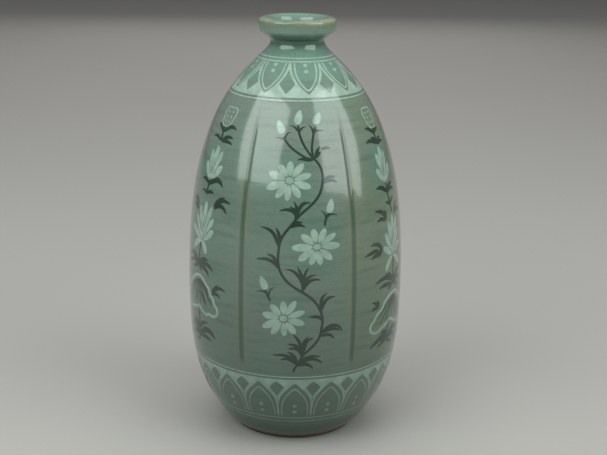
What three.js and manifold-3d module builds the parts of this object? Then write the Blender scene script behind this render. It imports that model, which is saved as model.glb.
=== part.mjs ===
// Lobed celadon bottle with a dish-shaped mouth, inlaid with slip in carved recesses.
// Millimetres, Z up. The origin is the centre of the ring it stands on, and its front panel faces -Y.
// Angles are degrees round the vase from the front, growing towards +X.
import * as THREE from 'three';
import { mergeVertices } from 'three/addons/utils/BufferGeometryUtils.js';
import Module from 'manifold-3d';

const wasm = await Module();
wasm.setup();

// Outline of the outside, from the foot up. Each rise is measured from the place below it,
// and each inset on the body from the belly, its widest place.
const footRingHeight = 6;
const footRadius = 45.3;
const footTopRadius = 50.6;
const toeRise = 10;
const toeInset = 19.6;
const heelRise = 18;
const heelInset = 10.2;
const haunchRise = 28;
const haunchInset = 2.6;
const bellyRise = 57;
const bellyRadius = 77.8;
const flankRise = 23;
const flankInset = 0.8;
const shoulderRise = 45;
const shoulderInset = 5.8;
const browRise = 29.5;
const browInset = 13.9;
const napeRise = 28.5;
const napeInset = 27.4;
const collarRise = 13;
const collarInset = 36.8;
const neckFootRise = 17.6;
const neckFootRadius = 24.4;
const waistRise = 7.4;
const waistRadius = 18.5;
const neckTopRise = 3;
const neckTopRadius = 19.8;

// Walls and hollow.
const wallThickness = 6;
const baseThickness = 8;
const neckWall = 4.6;
const footRingWidth = 4.8;
const footRingTopWidth = 8.5;
const footEdgeRound = 1.2;

// Dish-shaped mouth.
const mouthRadius = 27.3;
const mouthUndersideRise = 5.8;
const mouthBandHeight = 5.8;
const lipRound = 2.4;
const dishFloorRise = 3.4;
const flareKneeInset = 1.4;
const flareKneeRise = 1.6;

// Six lobes, parted by shallow upright grooves that fade out at both ends of the panels.
const lobeSwell = 0.8;
const grooveDepth = 1.3;
const grooveHalfAngle = 4;
const grooveFadeBelow = 30;
const grooveFadeAbove = 36;

// Carved recesses, and the slip that fills them.
const recessDepth = 1.6;
const inlayThickness = 1.2;
const inlayClearance = 0.3;

// Lotus band on the shoulder, measured down from the foot of the neck.
const shoulderPetals = 9;
const shoulderBandTurn = 9.6;
const neckLineDrop = 1.4;
const neckLineWidth = 1.2;
const shoulderTipDrop = 20.6;
const shoulderBandDrop = 24.3;
const shoulderKiteRise = 9.6;
const shoulderKiteShare = 0.34;
const shoulderPetalShare = 0.46;

// Lotus band at the base, measured up from the top of the foot ring.
const basePetals = 18;
const baseLineRise = 19.6;
const baseLineWidth = 1.2;
const baseTipRise = 50.4;
const baseBandRise = 54;
const basePetalShare = 0.5;
const basePetalSpan = 0.9;
const baseKiteFootShare = 0.6;
const baseKiteShare = 0.86;
const baseKiteSpan = 0.62;
const petalOutline = 1.3;

// The panels lie between the two bands, this far clear of them.
const panelGap = 2;

// Chrysanthemum spray.
const stemWidth = 2.3;
const twigWidth = 1.8;
const leafWidth = 3.2;
const blossomPetals = 10;
const blossomHalfWidth = 13.6;
const blossomHalfHeight = 11.8;
const blossomHeart = 4;
const petalEndWidth = 3;
const budLength = 8.6;
const budWidth = 4.2;
const budWidestShare = 0.45;

// Lotus spray.
const lotusPetalWidth = 4.2;
const lotusPetalWidestShare = 0.66;
const lotusHeart = 9;
const smallLotusHeight = 22.7;
const smallLotusPetals = [[-48, 0.67], [-21, 0.88], [0, 1], [21, 0.88], [48, 0.67]];
const largeLotusHeight = 28.1;
const largeLotusPetals = [
  [-135, 0.47], [-66, 0.57], [-28, 0.79], [0, 1], [28, 0.79], [66, 0.57], [135, 0.47],
];
const podFootWidth = 4.8;
const podWidth = 9.5;
const podHeight = 11;
const lotusLeafHalfWidth = 19;
const lotusLeafHalfHeight = 11.5;
const lotusLeafRim = 2.2;
const lotusLeafScallop = 2;
const lotusLeafPoints = 10;

// Fineness of the curved surfaces.
const lobeFacets = 3;
const latheSegments = 24;
const neckSteps = 2;
const sectionSteps = 2;
const weldDistance = 1e-4;
const bandWeldDistance = 1e-3;
const slopeReach = 1.5;
const sharpestMiter = 0.5;

const degrees = Math.PI / 180;
const lobeCount = 6;
const lobeAngle = 360 / lobeCount;

// The outline is one smooth curve through these radii and rises, section by section.
const bowlRises = [
  [footTopRadius, footRingHeight],
  [bellyRadius - toeInset, toeRise],
  [bellyRadius - heelInset, heelRise],
  [bellyRadius - haunchInset, haunchRise],
  [bellyRadius, bellyRise],
];
const domeRises = [
  [bellyRadius - flankInset, flankRise],
  [bellyRadius - shoulderInset, shoulderRise],
  [bellyRadius - browInset, browRise],
  [bellyRadius - napeInset, napeRise],
  [bellyRadius - collarInset, collarRise],
  [neckFootRadius, neckFootRise],
];
const neckRises = [
  [waistRadius, waistRise],
  [neckTopRadius, neckTopRise],
];
const outlineRises = [...bowlRises, ...domeRises, ...neckRises];
const bellyPlace = bowlRises.length - 1;
const neckFootPlace = bellyPlace + domeRises.length;
const neckTopPlace = outlineRises.length - 1;
const outlinePoints = [];
let outlineHeight = 0;
for (const [radius, rise] of outlineRises) {
  outlineHeight += rise;
  outlinePoints.push(new THREE.Vector2(radius, outlineHeight));
}
const outline = new THREE.SplineCurve(outlinePoints);
const neckFootHeight = outlinePoints[neckFootPlace].y;
const neckTopHeight = outlinePoints[neckTopPlace].y;

// Rows of the wall between two places on the outline, as radius and height.
function outlineRows(fromPlace, toPlace, stepsPerPlace) {
  const rows = [];
  for (let step = 0; step <= (toPlace - fromPlace) * stepsPerPlace; step++) {
    rows.push(outline.getPoint((fromPlace + step / stepsPerPlace) / neckTopPlace));
  }
  return rows;
}

// The two wall rows on either side of a height, and how far it lies from the lower to the upper.
const wallRows = outlineRows(0, neckTopPlace, 1);
function rowsAround(height) {
  let upper = wallRows.findIndex((row) => row.y >= height);
  if (upper < 0) upper = wallRows.length - 1;
  upper = Math.max(upper, 1);
  const low = wallRows[upper - 1];
  const high = wallRows[upper];
  return { low, high, share: THREE.MathUtils.clamp((height - low.y) / (high.y - low.y), 0, 1) };
}

function outlineRadius(height) {
  const { low, high, share } = rowsAround(height);
  return THREE.MathUtils.lerp(low.x, high.x, share);
}

// Heights of the bands, and of the panels between them.
const neckLineTop = neckFootHeight - neckLineDrop;
const neckLineBottom = neckLineTop - neckLineWidth;
const shoulderTip = neckFootHeight - shoulderTipDrop;
const shoulderBandBottom = neckFootHeight - shoulderBandDrop;
const baseLineBottom = footRingHeight + baseLineRise;
const baseLineTop = baseLineBottom + baseLineWidth;
const baseTip = footRingHeight + baseTipRise;
const baseBandTop = footRingHeight + baseBandRise;
const panelBottom = baseBandTop + panelGap;
const panelTop = shoulderBandBottom - panelGap;

// Stations round the wall: the bottom of each groove, then the lobe beside it from edge to edge.
const stationAngles = [];
for (let lobe = 0; lobe < lobeCount; lobe++) {
  const grooveAngle = (lobe - 0.5) * lobeAngle;
  const lobeSpan = lobeAngle - 2 * grooveHalfAngle;
  stationAngles.push(grooveAngle);
  for (let step = 0; step <= lobeFacets; step++) {
    stationAngles.push(grooveAngle + grooveHalfAngle + (step / lobeFacets) * lobeSpan);
  }
}

// How strongly lobes and grooves show at a height, from 0 to 1.
function lobeStrength(height) {
  const fromBelow = THREE.MathUtils.smoothstep(height, panelBottom, panelBottom + grooveFadeBelow);
  const fromAbove = THREE.MathUtils.smoothstep(height, panelTop - grooveFadeAbove, panelTop);
  return Math.min(fromBelow, 1 - fromAbove);
}

// Radius of the lobed wall at one of its stations.
function stationRadius(angle, height) {
  const fromLobe = angle - Math.round(angle / lobeAngle) * lobeAngle;
  const isGroove = Math.abs(fromLobe) > (lobeAngle - grooveHalfAngle) / 2;
  const swell = lobeSwell * Math.cos((fromLobe / lobeAngle) * Math.PI) ** 2;
  const relief = (isGroove ? -grooveDepth : swell) / bellyRadius;
  return outlineRadius(height) * (1 + relief * lobeStrength(height));
}

function pointAt(angle, radius, height) {
  return new THREE.Vector3(radius * Math.sin(angle * degrees), -radius * Math.cos(angle * degrees), height);
}

// A point on the faceted wall, on the chord between the stations to either side of it.
function wallPoint(angle, height) {
  const first = stationAngles[0];
  const around = THREE.MathUtils.euclideanModulo(angle - first, 360) + first;
  const index = stationAngles.findLastIndex((station) => station <= around);
  const left = stationAngles[index];
  const right = stationAngles[index + 1] ?? first + 360;
  const { low, high, share } = rowsAround(height);
  const radiusAt = (station) => THREE.MathUtils.lerp(
    stationRadius(station, low.y), stationRadius(station, high.y), share);
  const leftRadius = radiusAt(left);
  const rightRadius = radiusAt(right);
  const doubleArea = leftRadius * rightRadius * Math.sin((right - left) * degrees);
  const leftPart = leftRadius * Math.sin((around - left) * degrees);
  const rightPart = rightRadius * Math.sin((right - around) * degrees);
  return pointAt(angle, doubleArea / (leftPart + rightPart), height);
}

// The same point lifted off the wall, or sunk into it where the lift is negative.
function liftedPoint(angle, height, lift) {
  const aside = wallPoint(angle + slopeReach, height).sub(wallPoint(angle - slopeReach, height));
  const upwards = wallPoint(angle, height + slopeReach).sub(wallPoint(angle, height - slopeReach));
  return wallPoint(angle, height).addScaledVector(aside.cross(upwards).normalize(), lift);
}

function indexedGeometry(positions, indices) {
  const geometry = new THREE.BufferGeometry();
  geometry.setAttribute('position', new THREE.Float32BufferAttribute(positions, 3));
  geometry.setIndex(indices);
  return geometry;
}

function solidFrom(geometry) {
  const bare = geometry.clone();
  bare.deleteAttribute('normal');
  bare.deleteAttribute('uv');
  const merged = mergeVertices(bare, weldDistance);
  const vertProperties = new Float32Array(merged.attributes.position.array);
  const triVerts = new Uint32Array(merged.index.array);
  return new wasm.Manifold(new wasm.Mesh({ numProp: 3, vertProperties, triVerts }));
}

function geometryFrom(solid) {
  const mesh = solid.getMesh();
  return indexedGeometry(Array.from(mesh.vertProperties), Array.from(mesh.triVerts));
}

// A closed skin through rings of equal length. Its ends are joined to each other, or capped.
function skin(rings, joinEnds) {
  const positions = rings.flat().flatMap((point) => point.toArray());
  const count = rings[0].length;
  const indices = [];
  for (let ring = 0; ring < (joinEnds ? rings.length : rings.length - 1); ring++) {
    const low = ring * count;
    const high = ((ring + 1) % rings.length) * count;
    for (let side = 0; side < count; side++) {
      const next = (side + 1) % count;
      indices.push(low + side, low + next, high + next, low + side, high + next, high + side);
    }
  }
  if (joinEnds) return indexedGeometry(positions, indices);
  const last = positions.length / 3 - count;
  const centre = positions.length / 3;
  positions.push(0, 0, rings[0][0].z, 0, 0, rings.at(-1)[0].z);
  for (let side = 0; side < count; side++) {
    const next = (side + 1) % count;
    indices.push(centre, next, side, centre + 1, last + side, last + next);
  }
  return indexedGeometry(positions, indices);
}

function outerRing(row) {
  return stationAngles.map((angle) => pointAt(angle, stationRadius(angle, row.y), row.y));
}

function innerRing(row) {
  return stationAngles.map((angle) => pointAt(angle, outlineRadius(row.y) - wallThickness, row.y));
}

// Lower half of the body: a bowl with a flat underside for the foot ring.
function lowerBody() {
  const rows = outlineRows(0, bellyPlace, 1);
  const floor = new THREE.Vector2(0, footRingHeight + baseThickness);
  const sides = rows.filter((row) => row.y > floor.y + wallThickness);
  return skin([...rows.map(outerRing), ...[...sides.reverse(), floor].map(innerRing)], false);
}

// Upper half of the body, open at the belly and at the foot of the neck.
function upperBody() {
  const rows = outlineRows(bellyPlace, neckFootPlace, 1);
  return skin([...rows.map(outerRing), ...rows.reverse().map(innerRing)], true);
}

// A ring turned from a section given as radius and height.
function turned(section) {
  const geometry = new THREE.LatheGeometry([...section, section[0]], latheSegments);
  geometry.rotateX(Math.PI / 2);
  geometry.deleteAttribute('normal');
  geometry.deleteAttribute('uv');
  return mergeVertices(geometry, weldDistance);
}

// Foot ring, splayed up to the body, with a flat standing face between rounded edges.
function footRing() {
  const innerRadius = footRadius - footRingWidth;
  const section = new THREE.Path();
  section.moveTo(innerRadius + footEdgeRound, 0);
  section.lineTo(footRadius - footEdgeRound, 0);
  section.lineTo(footRadius, footEdgeRound);
  section.quadraticCurveTo(footRadius + footEdgeRound, footRingHeight / 2, footTopRadius, footRingHeight);
  section.lineTo(footTopRadius - footRingTopWidth, footRingHeight);
  section.lineTo(innerRadius, footEdgeRound);
  return turned(section.getPoints(sectionSteps));
}

function neck() {
  const outside = outlineRows(neckFootPlace, neckTopPlace, neckSteps);
  const inside = outside.filter((row, index) => index % neckSteps === 0).reverse();
  return turned([...outside, ...inside.map((row) => new THREE.Vector2(row.x - neckWall, row.y))]);
}

// Mouth: a flared underside, an upright band, a rounded lip and a shallow dish round the throat.
function mouth() {
  const throatRadius = neckTopRadius - neckWall;
  const bandBottom = neckTopHeight + mouthUndersideRise;
  const lipRadius = mouthRadius - lipRound;
  const dishFloor = neckTopHeight + dishFloorRise;
  const kneeRadius = mouthRadius - flareKneeInset;
  const kneeHeight = neckTopHeight + flareKneeRise;
  const section = new THREE.Path();
  section.moveTo(throatRadius, neckTopHeight);
  section.lineTo(neckTopRadius, neckTopHeight);
  section.quadraticCurveTo(kneeRadius, kneeHeight, mouthRadius, bandBottom);
  section.lineTo(mouthRadius, bandBottom + mouthBandHeight);
  section.absarc(lipRadius, bandBottom + mouthBandHeight, lipRound, 0, Math.PI, false);
  section.quadraticCurveTo(lipRadius - lipRound, dishFloor, throatRadius, dishFloor);
  return turned(section.getPoints(sectionSteps));
}

// Drawings are flat: x is millimetres along the wall from the panel's centre line, y is the height.
// Places in them are given as degrees from the centre line and hundredths of the panel's height.
function place(angle, hundredths) {
  const height = THREE.MathUtils.lerp(panelBottom, panelTop, hundredths / 100);
  return new THREE.Vector2(angle * degrees * outlineRadius(height), height);
}

function mirroredPlaces(angle, hundredths) {
  return [place(-angle, hundredths), place(angle, hundredths)];
}

function sideways(along, length) {
  return new THREE.Vector2(-along.y, along.x).normalize().multiplyScalar(length);
}

// A stroke of even width through places in the drawing.
function stroke(places, width) {
  const left = [];
  const right = [];
  places.forEach((point, index) => {
    const before = places[Math.max(index - 1, 0)];
    const after = places[Math.min(index + 1, places.length - 1)];
    const across = sideways(after.clone().sub(before), width / 2);
    left.push(point.clone().add(across));
    right.push(point.clone().sub(across));
  });
  return { edge: [...left, ...right.reverse()] };
}

// A leaf that tapers from its root on a stem to a point.
function leaf(root, tip) {
  const across = sideways(tip.clone().sub(root), leafWidth / 2);
  return { edge: [root.clone().sub(across), tip, root.clone().add(across)] };
}

// A pair of leaves that bow out to both sides of a stem.
function leafPair(root, angle, hundredths) {
  const [left, right] = mirroredPlaces(angle, hundredths);
  const middle = leafWidth / 2;
  return { edge: [left, root.clone().setY(root.y - middle), right, root.clone().setY(root.y + middle)] };
}

// An open chrysanthemum, its petals joined at the heart.
function chrysanthemum(centre) {
  const edge = [];
  for (let petal = 0; petal < blossomPetals; petal++) {
    const middle = ((petal + 0.5) / blossomPetals) * 2 * Math.PI;
    const notch = (petal / blossomPetals) * 2 * Math.PI;
    const tip = new THREE.Vector2(blossomHalfWidth * Math.cos(middle), blossomHalfHeight * Math.sin(middle));
    const across = sideways(tip, petalEndWidth / 2);
    edge.push(new THREE.Vector2(Math.cos(notch), Math.sin(notch)).multiplyScalar(blossomHeart));
    edge.push(tip.clone().sub(across), tip.clone().add(across));
  }
  return [{ edge: edge.map((point) => point.add(centre)) }];
}

// A bud: a pointed oval that leans with its twig.
function bud(root, lean) {
  const along = new THREE.Vector2(Math.sin(lean * degrees), Math.cos(lean * degrees)).multiplyScalar(budLength);
  const across = sideways(along, budWidth / 2);
  const at = (share, side) => root.clone().addScaledVector(along, share).addScaledVector(across, side);
  return [{ edge: [at(0, 0), at(budWidestShare, -1), at(1, 0), at(budWidestShare, 1)] }];
}

// A lotus from the side: pointed petals spread from one root. Each has its lean from upright in degrees,
// and its length as a share of the middle one's.
function lotus(root, height, petals) {
  const reach = (lean, length) => new THREE.Vector2(
    Math.sin(lean * degrees), Math.cos(lean * degrees)).multiplyScalar(length);
  const edge = [root];
  petals.forEach(([lean, share], index) => {
    const along = reach(lean, share * height);
    const across = sideways(along, lotusPetalWidth / 2);
    const widest = root.clone().addScaledVector(along, lotusPetalWidestShare);
    edge.push(widest.clone().add(across), root.clone().add(along), widest.clone().sub(across));
    if (index + 1 < petals.length) {
      const between = (lean + petals[index + 1][0]) / 2;
      edge.push(root.clone().add(reach(between, lotusHeart)));
    }
  });
  return [{ edge }];
}

// The chrysanthemum spray: one winding stem with leaves, three blossoms and five buds.
function chrysanthemumSpray() {
  const stem = [
    place(9.5, 80.9), place(14, 75), place(11, 67.5), place(-7, 55), place(-9.5, 44),
    place(-4, 36.5), place(10, 29.5), place(12.5, 19), place(-1.5, 2),
  ];
  const onStem = (bend, share) => stem[bend].clone().lerp(stem[bend + 1], share);
  const twigsAndLeaves = [
    [onStem(0, 0.2), place(-8.5, 87.8)],
    [onStem(0, 0.2), place(0.5, 91)],
    [onStem(0, 0.2), place(10, 89.5)],
    [onStem(2, 0.75), place(-9.5, 63)],
    [onStem(3, 0.55), place(-18.5, 56.7)],
    [onStem(5, 0.3), place(-2, 41.5)],
    [onStem(6, 0.7), place(22.5, 17.5)],
    [onStem(7, 0.75), place(-11.5, 9)],
    [onStem(7, 0.75), place(12.5, 6.8)],
  ];
  return {
    vine: [
      stroke(stem, stemWidth),
      ...twigsAndLeaves.map(([root, tip]) => leaf(root, tip)),
    ],
    blossom_top: chrysanthemum(place(-4, 73.5)),
    blossom_middle: chrysanthemum(place(9.5, 50)),
    blossom_low: chrysanthemum(place(-6.8, 23.4)),
    bud_left: bud(place(-10, 89.5), -30),
    bud_centre: bud(place(0.2, 92.6), 6),
    bud_right: bud(place(11.5, 91.4), 22),
    bud_stem_right: bud(place(17, 62), 4),
    bud_stem_left: bud(place(-16.5, 34), -18),
  };
}

// The lotus spray: a seed pod, two blossoms, a broad leaf and the dark sprigs between them.
function lotusSpray() {
  const podRoot = place(0, 89);
  const podCorner = (across, up) => podRoot.clone().add(new THREE.Vector2(across, up));
  const pod = [
    podCorner(-podFootWidth / 2, 0), podCorner(podFootWidth / 2, 0),
    podCorner(podWidth / 2, podHeight), podCorner(-podWidth / 2, podHeight),
  ];
  const rim = [];
  const hollow = [];
  const leafCentre = place(0, 22.5);
  for (let point = 0; point < lotusLeafPoints; point++) {
    const turn = (point / lotusLeafPoints) * 2 * Math.PI;
    const trim = point % 2 ? lotusLeafScallop : 0;
    const onRim = (inset) => leafCentre.clone().add(new THREE.Vector2(
      (lotusLeafHalfWidth - inset) * Math.cos(turn), (lotusLeafHalfHeight - inset) * Math.sin(turn)));
    rim.push(onRim(trim));
    hollow.push(onRim(trim + lotusLeafRim));
  }
  return {
    pod: [{ edge: pod }],
    sprig: [
      stroke([place(0, 87.3), place(0, 83.4)], twigWidth),
      leafPair(place(0, 84.6), 11, 86.8),
    ],
    blossom_small: lotus(place(0, 69.5), smallLotusHeight, smallLotusPetals),
    calyx: [
      stroke([place(0, 67.2), place(0, 62.4)], twigWidth),
      leafPair(place(0, 65.4), 10, 67.6),
    ],
    blossom_large: lotus(place(0, 44.6), largeLotusHeight, largeLotusPetals),
    cluster: [leafPair(place(0, 34.8), 11, 37), leafPair(place(0, 34), 9.5, 31.4)],
    leaf: [{ edge: rim, hole: hollow }],
    foot: [
      stroke([place(0, 13.6), place(0, 4)], stemWidth),
      leafPair(place(0, 8), 11, 10.6),
    ],
  };
}

// Moves every side of an outline outwards, or inwards where the margin is negative.
function grown(points, margin) {
  const turn = THREE.ShapeUtils.isClockWise(points) ? -1 : 1;
  return points.map((point, index) => {
    const before = points.at(index - 1);
    const after = points[(index + 1) % points.length];
    const arriving = sideways(point.clone().sub(before), -1);
    const leaving = sideways(after.clone().sub(point), -1);
    const bisector = arriving.clone().add(leaving).normalize();
    const miter = 1 / Math.max(bisector.dot(arriving), sharpestMiter);
    return point.clone().addScaledVector(bisector, turn * margin * miter);
  });
}

// A slab of drawn outlines, joined where they overlap, laid on the wall between two lifts.
function laidSlab(outlines, panelAngle, margin, innerLift, outerLift) {
  const depth = outerLift - innerLift;
  const solids = outlines.map(({ edge, hole }) => {
    const shape = new THREE.Shape(grown(edge, margin));
    if (hole) shape.holes.push(new THREE.Path(grown(hole, -margin)));
    return solidFrom(new THREE.ExtrudeGeometry(shape, { depth, bevelEnabled: false }));
  });
  const flat = solids.reduce((joined, solid) => joined.add(solid)).getMesh();
  const positions = [];
  for (let start = 0; start < flat.vertProperties.length; start += 3) {
    const [x, height, up] = flat.vertProperties.slice(start, start + 3);
    const angle = panelAngle + x / outlineRadius(height) / degrees;
    positions.push(...liftedPoint(angle, height, innerLift + up).toArray());
  }
  return indexedGeometry(positions, Array.from(flat.triVerts));
}

// One repeat of a closed band, as degrees from its middle and height: its edge and its hole.
// Every side of the slip moves out by the margin. The angles grow narrower for a wider margin.
function degreesFor(width, height) {
  return width / outlineRadius(height) / degrees;
}

function mirrored(points) {
  return points.slice().reverse().map((point) => new THREE.Vector2(-point.x, point.y));
}

// Shoulder: petals point down from the neck line, with a kite of bare wall between each two.
function shoulderRepeat(margin) {
  const half = 180 / shoulderPetals;
  const petalEdge = (share, inset) => {
    const height = THREE.MathUtils.lerp(shoulderTip, neckLineBottom, share);
    return new THREE.Vector2(half * Math.sin((share * Math.PI) / 2) - degreesFor(inset, height), height);
  };
  const inset = petalOutline + margin;
  const hole = [petalEdge(shoulderPetalShare, inset), petalEdge(1, inset)];
  hole[1].y -= margin;
  const kiteSide = petalEdge(shoulderKiteShare, -petalOutline / 2 - margin);
  kiteSide.y = shoulderBandBottom + shoulderKiteRise;
  const side = [
    new THREE.Vector2(half, shoulderBandBottom - margin),
    new THREE.Vector2(half, shoulderTip + 2 * margin),
    kiteSide,
    new THREE.Vector2(half, neckLineBottom - 2 * petalOutline - 2 * margin),
    new THREE.Vector2(half, neckLineTop + margin),
  ];
  return {
    half,
    edge: [new THREE.Vector2(0, shoulderBandBottom - margin), ...side, ...mirrored(side)],
    hole: [new THREE.Vector2(0, shoulderTip + 2 * inset), ...hole, ...mirrored(hole)],
  };
}

// Base: petals point up from the base line, with a blunt kite of bare wall between each two.
function baseRepeat(margin) {
  const half = 180 / basePetals;
  const heightAt = (share) => THREE.MathUtils.lerp(baseLineTop, baseTip, share);
  const at = (angle, inset, height) => new THREE.Vector2(angle - degreesFor(inset, height), height);
  const inset = petalOutline / 2 + margin;
  const hole = [
    at(half, inset, baseLineTop + margin),
    at(basePetalSpan * half, inset, heightAt(basePetalShare)),
  ];
  const side = [
    new THREE.Vector2(half, baseLineBottom - margin),
    new THREE.Vector2(half, heightAt(baseKiteFootShare) + 2 * margin),
    at(baseKiteSpan * half, -margin, heightAt(baseKiteShare)),
    new THREE.Vector2(half, baseTip - margin),
    new THREE.Vector2(half, baseBandTop + margin),
  ];
  return {
    half,
    edge: [...side, ...mirrored(side)],
    hole: [...hole, new THREE.Vector2(0, baseTip - 2 * margin), ...mirrored(hole)],
  };
}

// A closed band between two lifts: the repeat is laid side by side all the way round.
function closedBand(repeat, count, turn, innerLift, outerLift) {
  const { half, edge, hole } = repeat;
  const points = [...edge, ...hole];
  const faces = THREE.ShapeUtils.triangulateShape(edge, [hole]);
  const loops = [[0, edge.length, 1], [edge.length, hole.length, -1]];
  const positions = [];
  const indices = [];
  for (let copy = 0; copy < count; copy++) {
    const outer = positions.length / 3;
    const inner = outer + points.length;
    for (const lift of [outerLift, innerLift]) {
      for (const point of points) {
        positions.push(...liftedPoint(turn + (2 * copy * half) + point.x, point.y, lift).toArray());
      }
    }
    for (const [a, b, c] of faces) {
      const [second, third] = THREE.ShapeUtils.isClockWise([points[a], points[b], points[c]]) ? [c, b] : [b, c];
      indices.push(outer + a, outer + second, outer + third, inner + a, inner + third, inner + second);
    }
    for (const [start, length, sense] of loops) {
      const loop = points.slice(start, start + length);
      const forward = THREE.ShapeUtils.isClockWise(loop) ? -sense : sense;
      for (let step = 0; step < length; step++) {
        let from = start + step;
        let to = start + ((step + 1) % length);
        const isSeam = Math.abs(points[from].x) === half && points[from].x === points[to].x;
        if (isSeam) continue;
        if (forward < 0) [from, to] = [to, from];
        indices.push(inner + from, inner + to, outer + to, inner + from, outer + to, outer + from);
      }
    }
  }
  return mergeVertices(indexedGeometry(positions, indices), bandWeldDistance);
}

// Finishes, as they look under glaze.
const glaze = { color: 0x768d7c, roughness: 0.16, metalness: 0 };
const whiteSlip = { color: 0xb0c6b4, roughness: 0.2, metalness: 0 };
const blackSlip = { color: 0x334136, roughness: 0.2, metalness: 0 };
const firedClay = { color: 0x5a483a, roughness: 0.8, metalness: 0 };

const vase = new THREE.Group();

function addPiece(name, geometry, finish) {
  geometry.computeVertexNormals();
  const piece = new THREE.Mesh(geometry, new THREE.MeshStandardMaterial(finish));
  piece.name = name;
  vase.add(piece);
}

// Chrysanthemums and lotuses take turns round the vase, one spray to a lobe.
const sprays = [
  ['front_chrysanthemum', chrysanthemumSpray(), 0],
  ['right_lotus', lotusSpray(), 1],
  ['right_rear_chrysanthemum', chrysanthemumSpray(), 2],
  ['rear_lotus', lotusSpray(), 3],
  ['left_rear_chrysanthemum', chrysanthemumSpray(), 4],
  ['left_lotus', lotusSpray(), 5],
];
const darkPieces = ['vine', 'sprig', 'calyx', 'cluster', 'foot'];
const carvings = [];

for (const [spray, pieces, lobe] of sprays) {
  for (const [piece, outlines] of Object.entries(pieces)) {
    const finish = darkPieces.includes(piece) ? blackSlip : whiteSlip;
    const slip = laidSlab(outlines, lobe * lobeAngle, 0, -inlayThickness, 0);
    addPiece(`${spray}_${piece}`, slip, finish);
    carvings.push(laidSlab(outlines, lobe * lobeAngle, inlayClearance, -recessDepth, recessDepth));
  }
}

const bands = [
  ['shoulder_lotus_band', shoulderRepeat, shoulderPetals, shoulderBandTurn],
  ['base_lotus_band', baseRepeat, basePetals, 0],
];
for (const [name, repeat, count, turn] of bands) {
  addPiece(name, closedBand(repeat(0), count, turn, -inlayThickness, 0), whiteSlip);
  carvings.push(closedBand(repeat(inlayClearance), count, turn, -recessDepth, recessDepth));
}

// The wall with every recess cut into it. Slivers cut loose between two recesses fall away.
function carved(geometry) {
  const wall = carvings.reduce((left, carving) => left.subtract(solidFrom(carving)), solidFrom(geometry));
  return geometryFrom(wall.decompose().reduce((most, part) => (part.volume() > most.volume() ? part : most)));
}

addPiece('body_lower', carved(lowerBody()), glaze);
addPiece('body_upper', carved(upperBody()), glaze);
addPiece('foot_ring', footRing(), firedClay);
addPiece('neck', neck(), glaze);
addPiece('mouth_dish', mouth(), glaze);

export default vase;
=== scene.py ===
import math

import bmesh
import bpy
import numpy as np
from mathutils import Matrix, Quaternion, Vector


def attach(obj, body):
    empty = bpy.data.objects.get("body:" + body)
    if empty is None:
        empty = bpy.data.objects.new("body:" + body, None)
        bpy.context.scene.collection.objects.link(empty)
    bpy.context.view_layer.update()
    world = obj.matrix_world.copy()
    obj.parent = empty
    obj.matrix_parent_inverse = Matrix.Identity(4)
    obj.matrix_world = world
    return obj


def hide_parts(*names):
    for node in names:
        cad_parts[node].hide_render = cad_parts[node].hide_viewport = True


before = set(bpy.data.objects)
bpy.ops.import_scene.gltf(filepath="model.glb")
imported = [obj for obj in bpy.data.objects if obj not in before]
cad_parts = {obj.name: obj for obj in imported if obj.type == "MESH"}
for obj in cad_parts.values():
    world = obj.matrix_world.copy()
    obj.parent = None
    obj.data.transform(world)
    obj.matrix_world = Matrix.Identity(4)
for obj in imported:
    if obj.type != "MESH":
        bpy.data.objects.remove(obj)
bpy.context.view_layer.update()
mm = 0.001
print("frame loaded")

# lengths in the dictionaries are millimetres, angles are degrees round the vase from the front

wall = {
    # (height, radius)
    "outline": (
        (6, 50.6), (10, 54.2), (16, 58.2), (34, 67.6), (62, 75.2), (90, 77.5), (119, 77.8), (142, 77),
        (187, 72), (216.5, 63.9), (245, 50.4), (258, 41), (268, 32), (276, 23.8), (280, 20.2), (283, 19),
        (285.6, 19.9),
    ),
    "rowStep": 1.5,
    "stepsRound": 360,
    "weld": 0.01,
    "thickness": 6,
    "baseThickness": 8,
    "seam": 275.6,
    "innerStep": 8,
    "underside": ((6.6, 0), (6.5, 30), (6.2, 39.5), (6, 41.5)),
    # where the inside turns into the floor: (above the floor, in from the wall)
    "innerCorner": ((1, 4), (0, 10)),
    # only points this close to the outline follow the lobes
    "skin": 0.1,
    "lobes": 6,
    "lobeTurn": 0.7,
    "lobeSwell": 0.8,
    "grooveDepth": 0.7,
    "grooveHalfAngle": 1.7,
    "grooveSpan": (62, 249),
    "grooveFade": (12, 30),
}


# natural cubic spline through the knots, with points about spacing apart
def smoothCurve(knots, spacing):
    knots = np.array(knots, float)
    chords = np.linalg.norm(np.diff(knots, axis=0), axis=1)
    reach = np.concatenate(([0], np.cumsum(chords)))
    stiffness = np.eye(len(knots))
    load = np.zeros_like(knots)
    for i in range(1, len(knots) - 1):
        stiffness[i, i - 1:i + 2] = chords[i - 1], 2 * (chords[i - 1] + chords[i]), chords[i]
        load[i] = 6 * ((knots[i + 1] - knots[i]) / chords[i] - (knots[i] - knots[i - 1]) / chords[i - 1])
    bend = np.linalg.solve(stiffness, load)
    along = np.linspace(0, reach[-1], max(3, round(reach[-1] / spacing) + 1))
    index = np.clip(np.searchsorted(reach, along, side="right") - 1, 0, len(chords) - 1)
    chord = chords[index][:, None]
    after = (along - reach[index])[:, None]
    before = chord - after
    low, high = bend[index], bend[index + 1]
    cubic = (low * before ** 3 + high * after ** 3) / (6 * chord)
    return cubic + (knots[index] / chord - low * chord / 6) * before + (
        knots[index + 1] / chord - high * chord / 6) * after


outline = smoothCurve(wall["outline"], wall["rowStep"])
meridian = np.concatenate(([0], np.cumsum(np.linalg.norm(np.diff(outline, axis=0), axis=1))))


def outlineRadius(height):
    return np.interp(height, outline[:, 0], outline[:, 1])


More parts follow.
